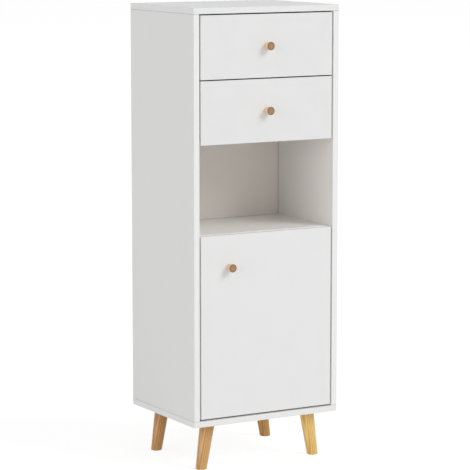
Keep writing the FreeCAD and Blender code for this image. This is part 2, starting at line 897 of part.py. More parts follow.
def hinge_arm(z):
    """Cranked channel with two cheeks: its nose dips into the cup, its tail sits on the mounting plate."""
    nose_start = on_circle(nose_inner, x=plate_top)
    tail_front = V(plate_top, arm_reach, 0)
    tail_back = V(arm_back, arm_reach, 0)
    crank = on_circle(nose_outer, x=arm_back)
    tip_outer = on_circle(nose_outer, y=nose_floor)
    tip_inner = on_circle(nose_inner, y=nose_floor)
    edges = [
        Part.makeLine(nose_start, tail_front),
        Part.makeLine(tail_front, tail_back),
        Part.makeLine(tail_back, crank),
        bow(crank, tip_outer),
        Part.makeLine(tip_outer, tip_inner),
        bow(tip_inner, nose_start),
    ]
    solid = Part.Face(Part.Wire(edges)).extrude(V(0, 0, 2 * arm_half_height))
    solid.translate(V(0, 0, -arm_half_height))
    half = arm_half_height - arm_steel
    nose_room = rod(nose_outer - arm_steel, V(0, 0, -half), Z_AXIS, 2 * half)
    tail_room = block(arm_back + arm_steel, side_face, 0, arm_reach - arm_steel, -half, half)
    screw_way = rod(plate_screw_radius + fit, arm_screw_start(), X_AXIS, arm_depth)
    solid = solid.cut([nose_room, tail_room, screw_way])
    rivets = [arm_rivet(nose_inner + arm_rivet_inset), arm_rivet(nose_outer - arm_rivet_inset)]
    return from_axis(solid.fuse(rivets).removeSplitter(), z)


def arm_rivet(radius):
    """Link pivot riveted across both cheeks near the tip of the nose."""
    half = arm_half_height + arm_rivet_head
    centre = on_circle(radius, y=nose_floor + arm_rivet_inset)
    return rod(arm_rivet_radius, centre - Z_AXIS * half, Z_AXIS, 2 * half)


def arm_screw_start():
    """Where the head of the arm's fixing screw rests on the arm."""
    return V(arm_back, arm_reach - arm_screw_setback, 0)


def arm_screw(z):
    length = arm_depth + arm_screw_grip
    return from_axis(screw(arm_screw_start(), X_AXIS, plate_screw_radius, length, screw_head_radius, arm_steel), z)


def plate_screw_points():
    """Screw places on the plate's wings."""
    y = panel - hinge_axis_setback + plate_screw_setback
    return [V(side_face - plate_wing, y, end * plate_screw_pitch / 2) for end in (-1, 1)]


def hinge_plate(z):
    """Cross-shaped mounting plate: a raised saddle for the arm and two screwed wings."""
    saddle_end = arm_reach - plate_end_distance
    saddle_start = saddle_end - plate_length
    saddle = block(plate_top, side_face, saddle_start, saddle_end, -arm_half_height, arm_half_height)
    y = plate_screw_points()[0].y
    half = plate_wing_width / 2
    span = plate_wing_span / 2
    wings = block(side_face - plate_wing, side_face, y - half, y + half, -span, span)
    bores = [rod(plate_screw_radius + fit, point, X_AXIS, plate_wing) for point in plate_screw_points()]
    bores.append(rod(plate_screw_radius + fit, arm_screw_start(), X_AXIS, arm_depth + arm_screw_grip + hole_play))
    return from_axis(saddle.fuse(wings).removeSplitter().cut(bores), z)


def plate_screws(z):
    screws = []
    for point in plate_screw_points():
        length = plate_wing + plate_screw_grip
        piece = screw(point, X_AXIS, plate_screw_radius, length, screw_head_radius, screw_head_height)
        screws.append(from_axis(piece, z))
    return screws


def plate_screw_holes():
    """Holes in the right side panel for the plates of both hinges."""
    holes = []
    for z in z_hinges:
        for point in plate_screw_points():
            hole = screw_hole(point, X_AXIS, plate_screw_radius, plate_wing + plate_screw_grip)
            holes.append(from_axis(hole, z))
    return holes


# Door

def door_knob_place():
    return -x_fronts + door_knob_edge_distance, z_door_top - door_knob_top_distance


def door_panel():
    solid = front_board(z_door_low, door_height)
    bores = [knob_screw_hole(*door_knob_place())]
    for z in z_hinges:
        bores += cup_bores(z)
    return solid.cut(bores)


def door_bumper(x):
    """Pad on the shelf's front edge that the closed door rests against."""
    level = z_niche_floor - panel / 2
    return rod(bumper_radius, V(x, y_shelf_front, level), Y_AXIS * -1, shelf_setback - bumper_gap)


# All the pieces by name

def carcass_nodes():
    locks, bolts, dowels = carcass_fittings()
    x_bumper = x_fronts - bumper_end_distance
    nodes = {
        "top_panel": [top_panel()],
        "bottom_panel": [bottom_panel()],
        "left_side_panel": [side_panel(LEFT)],
        "right_side_panel": [side_panel(RIGHT)],
        "back_panel": [back_panel()],
        "niche_ceiling_shelf": [niche_ceiling_shelf()],
        "niche_floor_shelf": [niche_floor_shelf()],
        "niche_back_panel": [niche_back_panel()],
        "loose_shelf": [loose_shelf()],
        "shelf_pins": [shelf_pin(side, y) for side in (LEFT, RIGHT) for y in y_pins],
        "cam_locks": locks,
        "cam_bolts": bolts,
        "dowels": dowels,
        "leg_fittings": [fitting(corner) for corner in leg_corners() for fitting in (leg_bolt, leg_insert)],
        "hinge_arms": [hinge_arm(z) for z in z_hinges],
        "hinge_plates": [hinge_plate(z) for z in z_hinges],
        "hinge_plate_screws": [piece for z in z_hinges for piece in plate_screws(z)],
        "hinge_arm_screws": [arm_screw(z) for z in z_hinges],
        "door_bumpers": [door_bumper(-x_bumper), door_bumper(x_bumper)],
        "cabinet_runner_screws": cabinet_screws(),
    }
    names = ("front_left_leg", "front_right_leg", "rear_left_leg", "rear_right_leg")
    for name, corner in zip(names, leg_corners()):
        nodes[name] = [leg(corner)]
    return nodes


def drawer_nodes(name, front_level):
    locks, bolts, screws = drawer_fittings(front_level)
    middle = front_level + drawer_front_height / 2
    places = [(side, y) for side in (LEFT, RIGHT) for y in runner_screw_places()]
    return {
        name + "_drawer_front": [drawer_front(front_level)],
        name + "_drawer_left_side": [drawer_side_panel(LEFT, front_level)],
        name + "_drawer_right_side": [drawer_side_panel(RIGHT, front_level)],
        name + "_drawer_back": [drawer_back(front_level)],
        name + "_drawer_bottom": [drawer_bottom_board(front_level)],
        name + "_drawer_knob": [knob(0, middle)],
        name + "_drawer_knob_screw": [knob_screw(0, middle)],
        name + "_drawer_cam_locks": locks,
        name + "_drawer_cam_bolts": bolts,
        name + "_drawer_back_screws": screws,
        name + "_drawer_runners": both_sides(drawer_runner(front_level)),
        name + "_drawer_runner_screws": [drawer_runner_screw(side, y, front_level) for side, y in places],
        name + "_cabinet_runners": both_sides(cabinet_runner(front_level)),
        name + "_front_rollers": both_sides(front_roller(front_level)),
        name + "_rear_rollers": both_sides(rear_roller(front_level)),
    }


def door_nodes():
    return {
        "door_panel": [door_panel()],
        "door_knob": [knob(*door_knob_place())],
        "door_knob_screw": [knob_screw(*door_knob_place())],
        "hinge_cups": [hinge_cup(z) for z in z_hinges],
        "hinge_links": [hinge_link(z) for z in z_hinges],
        "hinge_cup_screws": [piece for z in z_hinges for piece in cup_screws(z)],
    }


os.makedirs("parts", exist_ok=True)
all_nodes = carcass_nodes()
all_nodes.update(drawer_nodes("upper", z_upper_front))
all_nodes.update(drawer_nodes("lower", z_lower_front))
all_nodes.update(door_nodes())
for node, pieces in all_nodes.items():
    solids = [solid for piece in pieces for solid in piece.Solids]
    shape = solids[0] if len(solids) == 1 else Part.makeCompound(solids)
    shape.exportStep("parts/" + node + ".step")
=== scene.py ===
import json
import math

import bmesh
import bpy
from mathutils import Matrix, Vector


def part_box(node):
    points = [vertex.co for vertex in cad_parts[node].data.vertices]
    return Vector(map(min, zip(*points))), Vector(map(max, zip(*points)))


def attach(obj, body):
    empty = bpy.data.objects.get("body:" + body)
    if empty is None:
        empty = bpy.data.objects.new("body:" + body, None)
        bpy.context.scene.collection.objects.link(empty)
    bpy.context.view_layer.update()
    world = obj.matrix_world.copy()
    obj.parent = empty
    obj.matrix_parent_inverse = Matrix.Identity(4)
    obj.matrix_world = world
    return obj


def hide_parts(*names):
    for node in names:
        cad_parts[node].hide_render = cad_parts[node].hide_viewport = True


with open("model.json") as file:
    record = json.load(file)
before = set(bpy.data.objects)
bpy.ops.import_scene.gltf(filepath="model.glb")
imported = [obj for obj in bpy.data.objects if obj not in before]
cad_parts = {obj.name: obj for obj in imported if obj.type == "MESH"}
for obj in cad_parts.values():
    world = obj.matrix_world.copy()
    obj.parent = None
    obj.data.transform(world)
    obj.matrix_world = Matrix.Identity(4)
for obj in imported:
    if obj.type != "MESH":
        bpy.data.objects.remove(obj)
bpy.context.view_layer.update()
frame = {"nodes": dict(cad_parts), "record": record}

nodes = frame["nodes"]
body_of = {node: body for body, held in frame["record"]["behaviour"]["bodies"].items() for node in held}

MM = 0.001
TOUCHING = 1e-6      # points this near to each other, in metres, are one
LEVEL = 1e-5         # points this near to a plane, in metres, lie in it


# Working by hand

def take(piece):
    """Leaves one piece selected and active, and nothing else."""
    bpy.ops.object.select_all(action="DESELECT")
    piece.select_set(True)
    bpy.context.view_layer.objects.active = piece


def edit(piece):
    """Opens one piece in edit mode, with nothing of it selected."""
    take(piece)
    bpy.ops.object.mode_set(mode="EDIT")
    bpy.ops.mesh.select_all(action="DESELECT")


def done():
    """Leaves edit mode."""
    bpy.ops.object.mode_set(mode="OBJECT")


def pick(piece, kind, test):
    """In edit mode, selects the faces or edges that pass a test and nothing else."""
    bpy.ops.mesh.select_mode(type="FACE" if kind == "faces" else "EDGE")
    bpy.ops.mesh.select_all(action="DESELECT")
    mesh = bmesh.from_edit_mesh(piece.data)
    for element in getattr(mesh, kind):
        if test(element):
            element.select_set(True)
    bmesh.update_edit_mesh(piece.data)


def settle(piece):
    """Puts a piece's place into its mesh, with its object at the origin."""
    take(piece)
    bpy.ops.object.transform_apply(location=True, rotation=True, scale=True)


def new_piece(name):
    """Names the primitive that was just added, or the piece that was just joined."""
    piece = bpy.context.object
    piece.name = name
    piece.data.name = name
    return piece


def copy_of(piece, name):
    """A second piece of the same shape, with a mesh of its own."""
    twin = piece.copy()
    twin.data = piece.data.copy()
    twin.name = name
    bpy.context.collection.objects.link(twin)
    return twin


def stand_for(piece, node):
    """Hands a finished piece over in place of a node of the frame."""
    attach(piece, body_of[node])
    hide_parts(node)


def wear(piece, material):
    """Gives a piece one material all over."""
    piece.data.materials.clear()
    piece.data.materials.append(material)


def solids_of(node):
    """Lowest and highest corner of each separate solid of a node, read from a merged copy."""
    copy = copy_of(nodes[node], "solids")
    copy.parent = None
    edit(copy)
    bpy.ops.mesh.select_all(action="SELECT")
    bpy.ops.mesh.remove_doubles(threshold=TOUCHING)
    bpy.ops.mesh.separate(type="LOOSE")
    done()
    boxes = []
    for part in list(bpy.context.selected_objects):
        points = [vertex.co for vertex in part.data.vertices]
        boxes.append((Vector(map(min, zip(*points))), Vector(map(max, zip(*points)))))
        bpy.data.objects.remove(part)
    return boxes


# Colour and shader nodes

def colour(code):
    """An sRGB hex value as linear colour."""
    channels = [int(code[i:i + 2], 16) / 255 for i in (1, 3, 5)]
    return (*[c / 12.92 if c <= 0.04045 else ((c + 0.055) / 1.055) ** 2.4 for c in channels], 1.0)


def add(tree, kind, settings, inputs):
    """Adds one shader node with its settings; an input takes a value or another node's output."""
    node = tree.nodes.new("ShaderNode" + kind)
    for name, value in settings.items():
        if name == "ramp":
            for stop, (place, code) in zip(list(node.color_ramp.elements), value):
                stop.position = place
                stop.color = colour(code)
        else:
            setattr(node, name, value)
    for name, value in inputs.items():
        if isinstance(value, bpy.types.NodeSocket):
            tree.links.new(value, node.inputs[name])
        else:
            node.inputs[name].default_value = value
    return node


def new_material(name):
    """An empty material and its node tree."""
    material = bpy.data.materials.new(name)
    material.use_nodes = True
    material.node_tree.nodes.clear()
    return material, material.node_tree


def seen_directly(tree):
    """1 for rays by which the camera sees, straight or reflected, and 0 for those that light things."""
    path = add(tree, "LightPath", {}, {})
    straight = add(tree, "Math", {"operation": "MAXIMUM"},
                   {0: path.outputs["Is Camera Ray"], 1: path.outputs["Is Glossy Ray"]})
    straight = add(tree, "Math", {"operation": "MAXIMUM"},
                   {0: straight.outputs[0], 1: path.outputs["Is Transmission Ray"]})
    return straight.outputs[0]


# Materials

# the middle of the carcass, the half sizes of the room that its boards look into, and how far above and
# below the middle the sides meet the top and bottom panels
carcass_middle = Vector((0, 9, 613)) * MM
carcass_room = Vector((185.6, 159, 485.6)) * MM
joint_height = 485 * MM


def melamine_board(node, white, bounce_white, corner_shade_width=0.0):
    """Melamine-faced particle board, pressed against a satin plate and edge-banded in white.

    The face shows a faint cloud and a stipple that softens reflections, the edges are a touch
    whiter, and the walls of bores and grooves show raw chips. The first whites hold the two ends of
    the cloud outside and the edge band, set board by board as painted light and shade; the second,
    a cream of painted warm bounce light, the two ends of the cloud inside. A board that is set
    between others has a rim of painted corner shade, as wide as the last argument.
    """
    face_skin = 0.6 * MM
    bore_depth = 0.7 * MM
    joint_reach = 0.8 * MM
    low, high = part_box(node)
    size = Vector(high) - Vector(low)
    middle = (Vector(high) + Vector(low)) / 2
    thin = min(range(3), key=lambda axis: size[axis])
    material, tree = new_material("melamine_" + node)
    place = add(tree, "TexCoord", {}, {}).outputs["Object"]
    from_middle = add(tree, "VectorMath", {"operation": "SUBTRACT"}, {0: place, 1: middle})
    spread = add(tree, "VectorMath", {"operation": "ABSOLUTE"}, {0: from_middle.outputs[0]})
    depth = add(tree, "VectorMath", {"operation": "SUBTRACT"}, {0: size / 2, 1: spread.outputs[0]})
    axes = add(tree, "SeparateXYZ", {}, {0: depth.outputs[0]})
    on_edge = add(tree, "Math", {"operation": "GREATER_THAN"}, {0: axes.outputs[thin], 1: face_skin})
    least = add(tree, "Math", {"operation": "MINIMUM"}, {0: axes.outputs[0], 1: axes.outputs[1]})
    least = add(tree, "Math", {"operation": "MINIMUM"}, {0: least.outputs[0], 1: axes.outputs[2]})
    inside = add(tree, "Math", {"operation": "GREATER_THAN"}, {0: least.outputs[0], 1: bore_depth})
    # what looks into the carcass is a cream white of painted bounce light, what looks out of it a neutral
    # one
    off_middle = add(tree, "VectorMath", {"operation": "SUBTRACT"}, {0: place, 1: carcass_middle})
    off_middle = add(tree, "VectorMath", {"operation": "ABSOLUTE"}, {0: off_middle.outputs[0]})
    to_outside = add(tree, "VectorMath", {"operation": "SUBTRACT"},
                     {0: carcass_room, 1: off_middle.outputs[0]})
    room = add(tree, "SeparateXYZ", {}, {0: to_outside.outputs[0]})
    nearest = add(tree, "Math", {"operation": "MINIMUM"}, {0: room.outputs[0], 1: room.outputs[1]})
    nearest = add(tree, "Math", {"operation": "MINIMUM"}, {0: nearest.outputs[0], 1: room.outputs[2]})
    lining = add(tree, "Math", {"operation": "GREATER_THAN"}, {0: nearest.outputs[0], 1: 0.0})
    # the cloud is 60 mm across, the stipple 1.2 mm and the chips 3 mm
    cloud = add(tree, "TexNoise", {}, {"Vector": place, "Scale": 1 / (60 * MM), "Detail": 3.0})
    outer = add(tree, "ValToRGB", {"ramp": ((0.3, white[0]), (0.7, white[1]))}, {0: cloud.outputs[0]})
    # the cream inside is painted warm bounce light
    inner = add(tree, "ValToRGB", {"ramp": ((0.3, bounce_white[0]), (0.7, bounce_white[1]))},
                {0: cloud.outputs[0]})
    # painted shade: inside, the rim of a board that is set between others darkens along its joints, as the
    # corners there are in shade
    wide, long = (axis for axis in range(3) if axis != thin)
    from_border = add(tree, "Math", {"operation": "MINIMUM"},
                      {0: axes.outputs[wide], 1: axes.outputs[long]})
    in_corner_shade = add(tree, "Math", {"operation": "LESS_THAN"}, {0: from_border.outputs[0], 1: corner_shade_width})
    inner = add(tree, "Mix", {"data_type": "RGBA"},
                {0: in_corner_shade.outputs[0], 6: inner.outputs[0], 7: colour("#D2CAC0")})
    face = add(tree, "Mix", {"data_type": "RGBA"},
               {0: lining.outputs[0], 6: outer.outputs[0], 7: inner.outputs[2]})
    chips = add(tree, "TexVoronoi", {}, {"Vector": place, "Scale": 1 / (3 * MM)})
    raw = add(tree, "ValToRGB", {"ramp": ((0.2, "#A97F50"), (0.8, "#D9BC90"))}, {0: chips.outputs["Color"]})
    banded = add(tree, "Mix", {"data_type": "RGBA"},
                 {0: on_edge.outputs[0], 6: face.outputs[2], 7: colour(white[2])})
    # outside, the joints of the sides with the top and bottom panels are a shade darker
    heights = add(tree, "SeparateXYZ", {}, {0: off_middle.outputs[0]})
    at_joint = add(tree, "Math", {"operation": "COMPARE"},
                   {0: heights.outputs[2], 1: joint_height, 2: joint_reach})
    at_joint = add(tree, "Math", {"operation": "SUBTRACT", "use_clamp": True},
                   {0: at_joint.outputs[0], 1: lining.outputs[0]})
    jointed = add(tree, "Mix", {"data_type": "RGBA"},
                  {0: at_joint.outputs[0], 6: banded.outputs[2], 7: colour("#D3D3D1")})
    seen = add(tree, "Mix", {"data_type": "RGBA"},
               {0: inside.outputs[0], 6: jointed.outputs[2], 7: raw.outputs[0]})
    stipple = add(tree, "TexNoise", {}, {"Vector": place, "Scale": 1 / (1.2 * MM), "Detail": 2.0})
    gloss = add(tree, "MapRange", {}, {0: cloud.outputs[0], 1: 0.3, 2: 0.7, 3: 0.46, 4: 0.54})
    bump = add(tree, "Bump", {}, {"Strength": 0.12, "Distance": 0.1 * MM, "Height": stipple.outputs[0]})
    shader = add(tree, "BsdfPrincipled", {}, {
        "Base Color": seen.outputs[2], "Roughness": gloss.outputs[0], "IOR": 1.5,
        "Normal": bump.outputs[0]})
    add(tree, "OutputMaterial", {}, {0: shader.outputs[0]})
    return material


def lacquered_fibre_board(name):
    """Thin wood-fibre board, roller-lacquered white: dull, a little warm, with a faint felt of fibres."""
    material, tree = new_material(name)
    place = add(tree, "TexCoord", {}, {}).outputs["Object"]
    # fibre bundles 2.5 mm across, clouds of lacquer 45 mm across
    felt = add(tree, "TexNoise", {}, {"Vector": place, "Scale": 1 / (2.5 * MM), "Detail": 4.0})
    cloud = add(tree, "TexNoise", {}, {"Vector": place, "Scale": 1 / (45 * MM), "Detail": 2.0})
    mixed = add(tree, "Mix", {}, {0: 0.6, 2: felt.outputs[0], 3: cloud.outputs[0]})
    tone = add(tree, "ValToRGB", {"ramp": ((0.35, "#E7E4DE"), (0.65, "#EAE7E2"))}, {0: mixed.outputs[0]})
    gloss = add(tree, "MapRange", {}, {0: cloud.outputs[0], 1: 0.3, 2: 0.7, 3: 0.5, 4: 0.6})
    bump = add(tree, "Bump", {}, {"Strength": 0.1, "Distance": 0.15 * MM, "Height": felt.outputs[0]})
    shader = add(tree, "BsdfPrincipled", {}, {
        "Base Color": tone.outputs[0], "Roughness": gloss.outputs[0], "Normal": bump.outputs[0]})
    add(tree, "OutputMaterial", {}, {0: shader.outputs[0]})
    return material


# a ring pattern of scale 1 has a band each 0.314 m
one_band = 0.314


def turned_leg_wood(name, foot, lean, height, dark_grain, light_grain, painted_top_shade):
    """Turned hardwood under clear satin lacquer: long growth bands and short dark pores along the leg."""
    material, tree = new_material(name)
    place = add(tree, "TexCoord", {}, {}).outputs["Object"]
    upright = add(tree, "Mapping", {"vector_type": "TEXTURE"},
                  {"Vector": place, "Location": foot, "Rotation": (0, lean, 0)})
    # bands 4 mm apart round a pith 46 mm off, fibres 1.2 mm wide and 45 mm long, pores 0.7 mm by 9 mm
    pith = add(tree, "Mapping", {},
               {"Vector": upright.outputs[0], "Location": (40 * MM, 22 * MM, 0), "Scale": (1, 1, 0.1)})
    bands = add(tree, "TexWave", {"wave_type": "RINGS", "rings_direction": "Z"}, {
        "Vector": pith.outputs[0], "Scale": one_band / (4 * MM), "Distortion": 2.5, "Detail": 2.0,
        "Detail Scale": 0.35})
    long_way = add(tree, "Mapping", {}, {"Vector": upright.outputs[0], "Scale": (1, 1, 1.2 / 45)})
    fibres = add(tree, "TexNoise", {},
                 {"Vector": long_way.outputs[0], "Scale": 1 / (1.2 * MM), "Detail": 3.0})
    short_way = add(tree, "Mapping", {}, {"Vector": upright.outputs[0], "Scale": (1, 1, 0.7 / 9)})
    pores = add(tree, "TexNoise", {},
                {"Vector": short_way.outputs[0], "Scale": 1 / (0.7 * MM), "Detail": 1.0})
    grain = add(tree, "Mix", {}, {0: 0.5, 2: bands.outputs["Fac"], 3: fibres.outputs[0]})
    # painted shade: the wood darkens towards the top of the leg, where the cabinet's shade falls
    heights = add(tree, "SeparateXYZ", {}, {0: upright.outputs[0]})
    shade = add(tree, "MapRange", {},
                {0: heights.outputs[2], 1: 0.0, 2: height, 3: painted_top_shade / 2, 4: -painted_top_shade / 2})
    grain = add(tree, "Math", {"operation": "ADD"}, {0: grain.outputs[0], 1: shade.outputs[0]})
    tone = add(tree, "ValToRGB", {"ramp": ((0.25, dark_grain), (0.75, light_grain))}, {0: grain.outputs[0]})
    dark = add(tree, "MapRange", {}, {0: pores.outputs[0], 1: 0.6, 2: 0.72, 3: 0.0, 4: 0.35})
    seen = add(tree, "Mix", {"data_type": "RGBA"},
               {0: dark.outputs[0], 6: tone.outputs[0], 7: colour("#8E5F31")})
    gloss = add(tree, "MapRange", {}, {0: grain.outputs[0], 1: 0.2, 2: 0.8, 3: 0.46, 4: 0.36})
    bump = add(tree, "Bump", {"invert": True},
               {"Strength": 0.2, "Distance": 0.1 * MM, "Height": dark.outputs[0]})
    shader = add(tree, "BsdfPrincipled", {}, {
        "Base Color": seen.outputs[2], "Roughness": gloss.outputs[0], "IOR": 1.5, "Normal": bump.outputs[0],
        "Coat Weight": 0.25, "Coat Roughness": 0.3})
    add(tree, "OutputMaterial", {}, {0: shader.outputs[0]})
    return material


def turned_knob_wood(name, low, high):
    """Turned hardwood under clear lacquer: light on the flank, darker where the face shows end grain."""
    material, tree = new_material(name)
    centre = ((low.x + high.x) / 2, low.y, (low.z + high.z) / 2)
    place = add(tree, "TexCoord", {}, {}).outputs["Object"]
    own = add(tree, "Mapping", {"vector_type": "TEXTURE"}, {"Vector": place, "Location": centre})
    # rings 1.6 mm apart round a pith 14 mm off, fibres 0.8 mm wide and 14 mm long, pores 0.9 mm apart
    pith = add(tree, "Mapping", {}, {
        "Vector": own.outputs[0], "Location": (9 * MM, 0, 11 * MM), "Scale": (1, 0.1, 1)})
    rings = add(tree, "TexWave", {"wave_type": "RINGS", "rings_direction": "Y"}, {
        "Vector": pith.outputs[0], "Scale": one_band / (1.6 * MM), "Distortion": 1.5, "Detail": 2.0})
    long_way = add(tree, "Mapping", {}, {"Vector": own.outputs[0], "Scale": (1, 0.8 / 14, 1)})
    fibres = add(tree, "TexNoise", {},
                 {"Vector": long_way.outputs[0], "Scale": 1 / (0.8 * MM), "Detail": 2.0})
    grain = add(tree, "Mix", {}, {0: 0.5, 2: rings.outputs["Fac"], 3: fibres.outputs[0]})
    flank = add(tree, "ValToRGB", {"ramp": ((0.25, "#E2B98C"), (0.75, "#F4D9B8"))}, {0: grain.outputs[0]})
    end = add(tree, "ValToRGB", {"ramp": ((0.2, "#9A724A"), (0.8, "#B88F64"))}, {0: grain.outputs[0]})
    pores = add(tree, "TexVoronoi", {}, {"Vector": own.outputs[0], "Scale": 1 / (0.9 * MM)})
    pits = add(tree, "MapRange", {}, {0: pores.outputs["Distance"], 1: 0.28, 2: 0.1, 3: 0.0, 4: 0.6})
    end_seen = add(tree, "Mix", {"data_type": "RGBA"},
                   {0: pits.outputs[0], 6: end.outputs[0], 7: colour("#7D5A37")})
    axes = add(tree, "SeparateXYZ", {}, {0: own.outputs[0]})
    # the face darkens towards its rim, from 5 mm off the axis to 9.5 mm
    across = add(tree, "CombineXYZ", {}, {0: axes.outputs[0], 2: axes.outputs[2]})
    off_axis = add(tree, "VectorMath", {"operation": "LENGTH"}, {0: across.outputs[0]})
    toward_rim = add(tree, "MapRange", {"interpolation_type": "SMOOTHSTEP"},
                {0: off_axis.outputs["Value"], 1: 5 * MM, 2: 9.5 * MM, 3: 0.0, 4: 0.75})
    end_seen = add(tree, "Mix", {"data_type": "RGBA"},
                   {0: toward_rim.outputs[0], 6: end_seen.outputs[2], 7: colour("#6F5236")})
    on_face = add(tree, "MapRange", {"interpolation_type": "SMOOTHSTEP"},
                  {0: axes.outputs[1], 1: 0.9 * MM, 2: 1.4 * MM, 3: 1.0, 4: 0.0})
    seen = add(tree, "Mix", {"data_type": "RGBA"},
               {0: on_face.outputs[0], 6: flank.outputs[0], 7: end_seen.outputs[2]})
    gloss = add(tree, "MapRange", {}, {0: on_face.outputs[0], 1: 0.0, 2: 1.0, 3: 0.36, 4: 0.5})
    bump = add(tree, "Bump", {}, {"Strength": 0.15, "Distance": 0.08 * MM, "Height": grain.outputs[0]})
    shader = add(tree, "BsdfPrincipled", {}, {
        "Base Color": seen.outputs[2], "Roughness": gloss.outputs[0], "IOR": 1.5, "Normal": bump.outputs[0],
        "Coat Weight": 0.2, "Coat Roughness": 0.3})
    add(tree, "OutputMaterial", {}, {0: shader.outputs[0]})
    return material


def fluted_beech(name):
    """Raw beech dowel rod: pale, dry, with short brown flecks along the rod."""
    material, tree = new_material(name)
    place = add(tree, "TexCoord", {}, {}).outputs["Object"]
    # flecks 0.8 mm wide and 5 mm long
    flecks = add(tree, "Mapping", {}, {"Vector": place, "Scale": (0.8 / 5, 1, 1)})
    grain = add(tree, "TexNoise", {}, {"Vector": flecks.outputs[0], "Scale": 1 / (0.8 * MM), "Detail": 2.0})
    tone = add(tree, "ValToRGB", {"ramp": ((0.35, "#C79C68"), (0.6, "#E0BF92"))}, {0: grain.outputs[0]})
    bump = add(tree, "Bump", {}, {"Strength": 0.3, "Distance": 0.15 * MM, "Height": grain.outputs[0]})
    shader = add(tree, "BsdfPrincipled", {}, {
        "Base Color": tone.outputs[0], "Roughness": 0.75, "Normal": bump.outputs[0]})
    add(tree, "OutputMaterial", {}, {0: shader.outputs[0]})
    return material


def epoxy_coated_steel(name):
    """Rolled steel in white epoxy powder coat: smooth, half gloss, with an orange-peel ripple."""
    material, tree = new_material(name)
    place = add(tree, "TexCoord", {}, {}).outputs["Object"]
    # ripples 1.5 mm across, dust and rubbing in patches of 12 mm
    peel = add(tree, "TexNoise", {}, {"Vector": place, "Scale": 1 / (1.5 * MM), "Detail": 1.0})
    rubbed = add(tree, "TexNoise", {}, {"Vector": place, "Scale": 1 / (12 * MM), "Detail": 3.0})
    tone = add(tree, "ValToRGB", {"ramp": ((0.3, "#E6E6E2"), (0.6, "#F0F0ED"))}, {0: rubbed.outputs[0]})
    gloss = add(tree, "MapRange", {}, {0: rubbed.outputs[0], 1: 0.3, 2: 0.7, 3: 0.38, 4: 0.28})
    bump = add(tree, "Bump", {}, {"Strength": 0.15, "Distance": 0.1 * MM, "Height": peel.outputs[0]})
    shader = add(tree, "BsdfPrincipled", {}, {
        "Base Color": tone.outputs[0], "Roughness": gloss.outputs[0], "IOR": 1.55,
        "Normal": bump.outputs[0]})
    add(tree, "OutputMaterial", {}, {0: shader.outputs[0]})
    return material


def moulded_nylon(name):
    """Injection-moulded nylon: milky, soft-edged, with a track rubbed smooth in patches."""
    material, tree = new_material(name)
    place = add(tree, "TexCoord", {}, {}).outputs["Object"]
    # patches 4 mm across
    milk = add(tree, "TexNoise", {}, {"Vector": place, "Scale": 1 / (4 * MM), "Detail": 3.0})
    tone = add(tree, "ValToRGB", {"ramp": ((0.3, "#E3E2DB"), (0.7, "#EFEEE8"))}, {0: milk.outputs[0]})
    gloss = add(tree, "MapRange", {}, {0: milk.outputs[0], 1: 0.3, 2: 0.7, 3: 0.42, 4: 0.3})
    bump = add(tree, "Bump", {}, {"Strength": 0.1, "Distance": 0.1 * MM, "Height": milk.outputs[0]})
    shader = add(tree, "BsdfPrincipled", {}, {
        "Base Color": tone.outputs[0], "Roughness": gloss.outputs[0], "IOR": 1.53,
        "Normal": bump.outputs[0],
        "Subsurface Weight": 0.2, "Subsurface Radius": (1.0, 0.9, 0.8), "Subsurface Scale": 1 * MM})
    add(tree, "OutputMaterial", {}, {0: shader.outputs[0]})
    return material


def plated_steel(name, light, dark, grit, polish):
    """Pressed or turned steel, plated: a bright metal whose fine scratches spread each highlight."""
    material, tree = new_material(name)
    place = add(tree, "TexCoord", {}, {}).outputs["Object"]
    # scratches of the given grit in mm, stretched eight times, and tarnish in patches of 5 mm
    drawn = add(tree, "Mapping", {}, {"Vector": place, "Scale": (1, 1 / 8, 1)})
    scratch = add(tree, "TexNoise", {},
                  {"Vector": drawn.outputs[0], "Scale": 1 / (grit * MM), "Detail": 3.0})
    patch = add(tree, "TexNoise", {}, {"Vector": place, "Scale": 1 / (5 * MM), "Detail": 2.0})
    tone = add(tree, "ValToRGB", {"ramp": ((0.3, dark), (0.65, light))}, {0: patch.outputs[0]})
    gloss = add(tree, "MapRange", {}, {0: scratch.outputs[0], 1: 0.3, 2: 0.7, 3: polish, 4: polish + 0.14})
    bump = add(tree, "Bump", {}, {"Strength": 0.1, "Distance": 0.05 * MM, "Height": scratch.outputs[0]})
    shader = add(tree, "BsdfPrincipled", {}, {
        "Base Color": tone.outputs[0], "Metallic": 1.0, "Roughness": gloss.outputs[0],
        "Normal": bump.outputs[0]})
    add(tree, "OutputMaterial", {}, {0: shader.outputs[0]})
    return material


def cast_polyurethane(name):
    """Cast soft polyurethane dot: milky clear, with a slight haze of dust."""
    material, tree = new_material(name)
    place = add(tree, "TexCoord", {}, {}).outputs["Object"]
    # dust in specks of 0.8 mm
    dust = add(tree, "TexNoise", {}, {"Vector": place, "Scale": 1 / (0.8 * MM), "Detail": 3.0})
    tone = add(tree, "ValToRGB", {"ramp": ((0.35, "#D9DAD6"), (0.6, "#ECEDEA"))}, {0: dust.outputs[0]})
    gloss = add(tree, "MapRange", {}, {0: dust.outputs[0], 1: 0.3, 2: 0.7, 3: 0.32, 4: 0.2})
    shader = add(tree, "BsdfPrincipled", {}, {
        "Base Color": tone.outputs[0], "Roughness": gloss.outputs[0], "IOR": 1.5,
        "Transmission Weight": 0.5})
    add(tree, "OutputMaterial", {}, {0: shader.outputs[0]})
    return material


# Pieces modelled here in place of plain nodes

